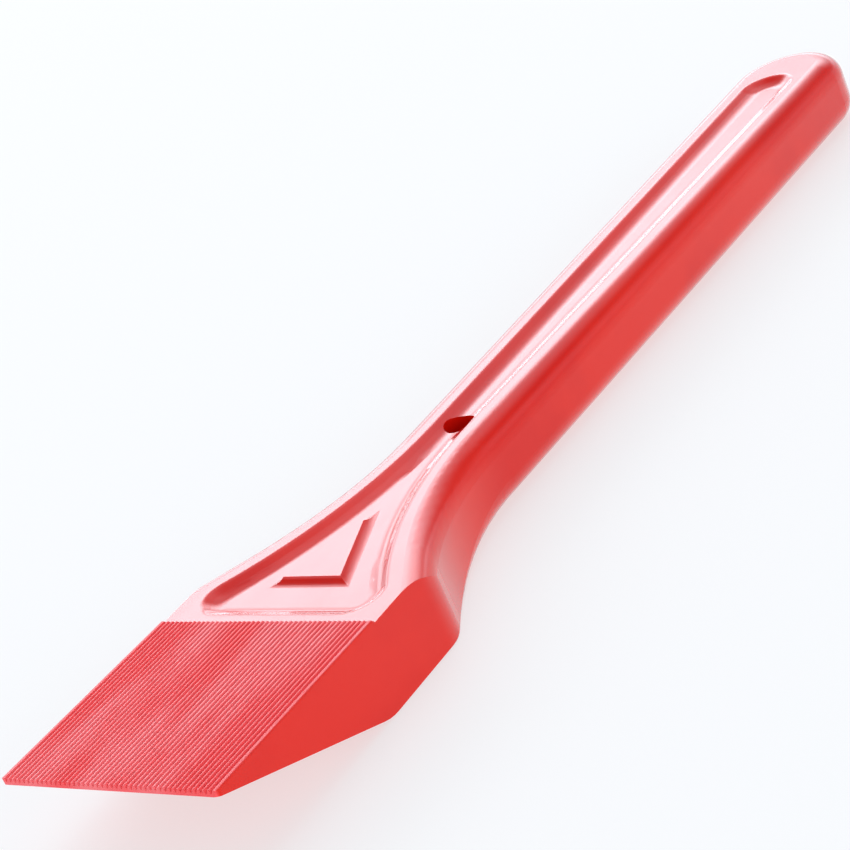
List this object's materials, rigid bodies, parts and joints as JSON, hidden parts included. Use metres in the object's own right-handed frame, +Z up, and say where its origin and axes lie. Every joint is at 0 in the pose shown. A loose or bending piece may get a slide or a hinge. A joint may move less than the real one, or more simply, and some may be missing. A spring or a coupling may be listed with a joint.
{
  "type": "hive tool",
  "caption": "One-piece plastic hive tool with a finely ribbed wedge blade, a recessed neck with a raised triangle, a long rounded handle and a hanging hole.",
  "frame": {"origin": "centre of the tool's bounding box, on the plane of its flat underside", "axes": "+X along the tool from the blade's tip to the handle's end, +Y across the blade, +Z up through the pocketed top face"},
  "size_m": [0.2536, 0.045, 0.0155],
  "materials": {
    "red_plastic": "glossy moulded red"
  },
  "bodies": {
    "root": {"tool_body": "red_plastic"}
  },
  "joints": []
}
